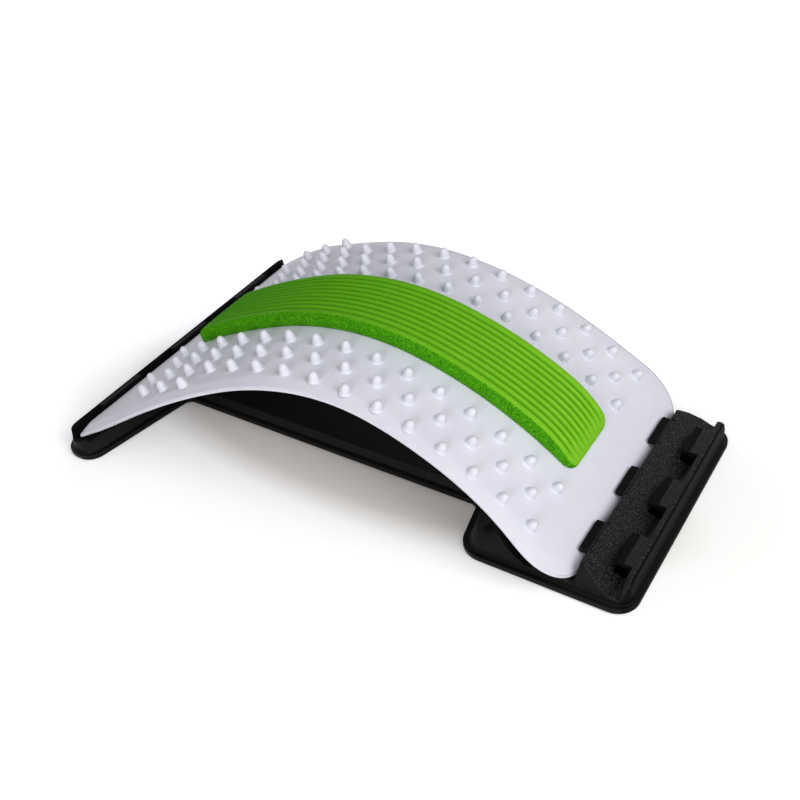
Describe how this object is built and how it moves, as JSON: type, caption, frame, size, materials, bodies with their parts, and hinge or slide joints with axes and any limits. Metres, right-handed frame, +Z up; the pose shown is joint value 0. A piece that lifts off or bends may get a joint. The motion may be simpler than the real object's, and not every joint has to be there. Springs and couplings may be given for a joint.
{
  "type": "back massager",
  "caption": "Arched lower-back massager: a bent white plate with pointed nubs and a ribbed green foam strip, hooked at both ends into a black waisted base with saw-tooth height steps.",
  "frame": {"origin": "on the floor under the middle of the base", "axes": "+X towards the foot with the saw teeth, +Y towards the back side, +Z up"},
  "size_m": [0.384, 0.2478, 0.0977],
  "materials": {
    "base_plastic": "satin",
    "plate_plastic": "satin",
    "tape": "matte",
    "foam": "matte",
    "grip_rubber": "matte"
  },
  "bodies": {
    "base_body": {"base": "base_plastic", "anti_slip_pad_1": "grip_rubber", "anti_slip_pad_2": "grip_rubber", "anti_slip_pad_3": "grip_rubber", "anti_slip_pad_4": "grip_rubber"},
    "arch_body": {"arch_plate": "plate_plastic", "pad_tape": "tape", "foam_pad": "foam"}
  },
  "joints": [
    {"name": "plate_slide", "type": "slide", "parent": "base_body", "child": "arch_body", "axis": [0, 1, 0], "range_m": [-0.1, 0.1]}
  ]
}
